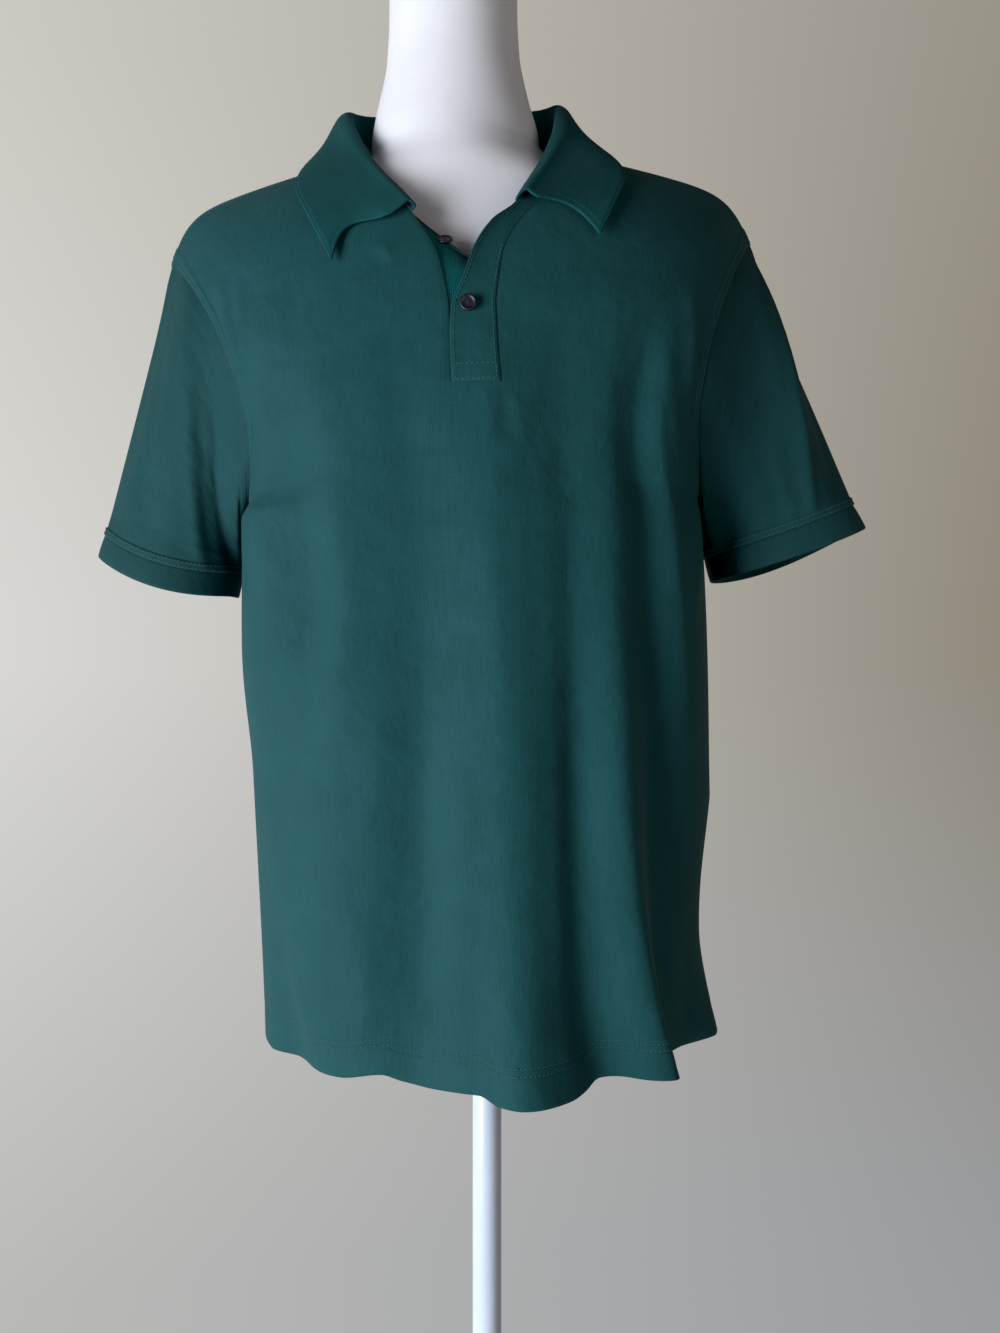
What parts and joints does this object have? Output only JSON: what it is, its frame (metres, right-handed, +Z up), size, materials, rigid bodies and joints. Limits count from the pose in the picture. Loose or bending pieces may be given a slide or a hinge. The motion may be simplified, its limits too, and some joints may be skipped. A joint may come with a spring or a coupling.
{
  "type": "polo shirt on a dress form",
  "caption": "Short-sleeved knit polo shirt with an open collar and a buttoned placket, worn on an armless dress form that stands on a pole and a round base.",
  "frame": {"origin": "centre of the base's underside, on the floor", "axes": "+Z up along the pole, the front of the shirt faces -Y, +X is the wearer's left"},
  "size_m": [0.6107, 0.34, 1.5575],
  "materials": {
    "jersey": "matt teal green knit",
    "collar_knit": "matt flat knit, darker teal green",
    "pique": "matt fine mesh knit",
    "button": "dark navy, half gloss",
    "form_shell": "white, smooth, half matt",
    "stand_paint": "white paint, half gloss"
  },
  "bodies": {
    "root": {"front_panel": "jersey", "back_panel": "jersey", "sleeve_right": "jersey", "sleeve_left": "jersey", "cuff_right": "jersey", "cuff_left": "jersey", "collar": "collar_knit", "placket_upper": "jersey", "placket_lower": "pique", "button_fastened": "button", "button_open": "button", "dress_form": "form_shell", "pole": "stand_paint", "base": "stand_paint"}
  },
  "joints": []
}
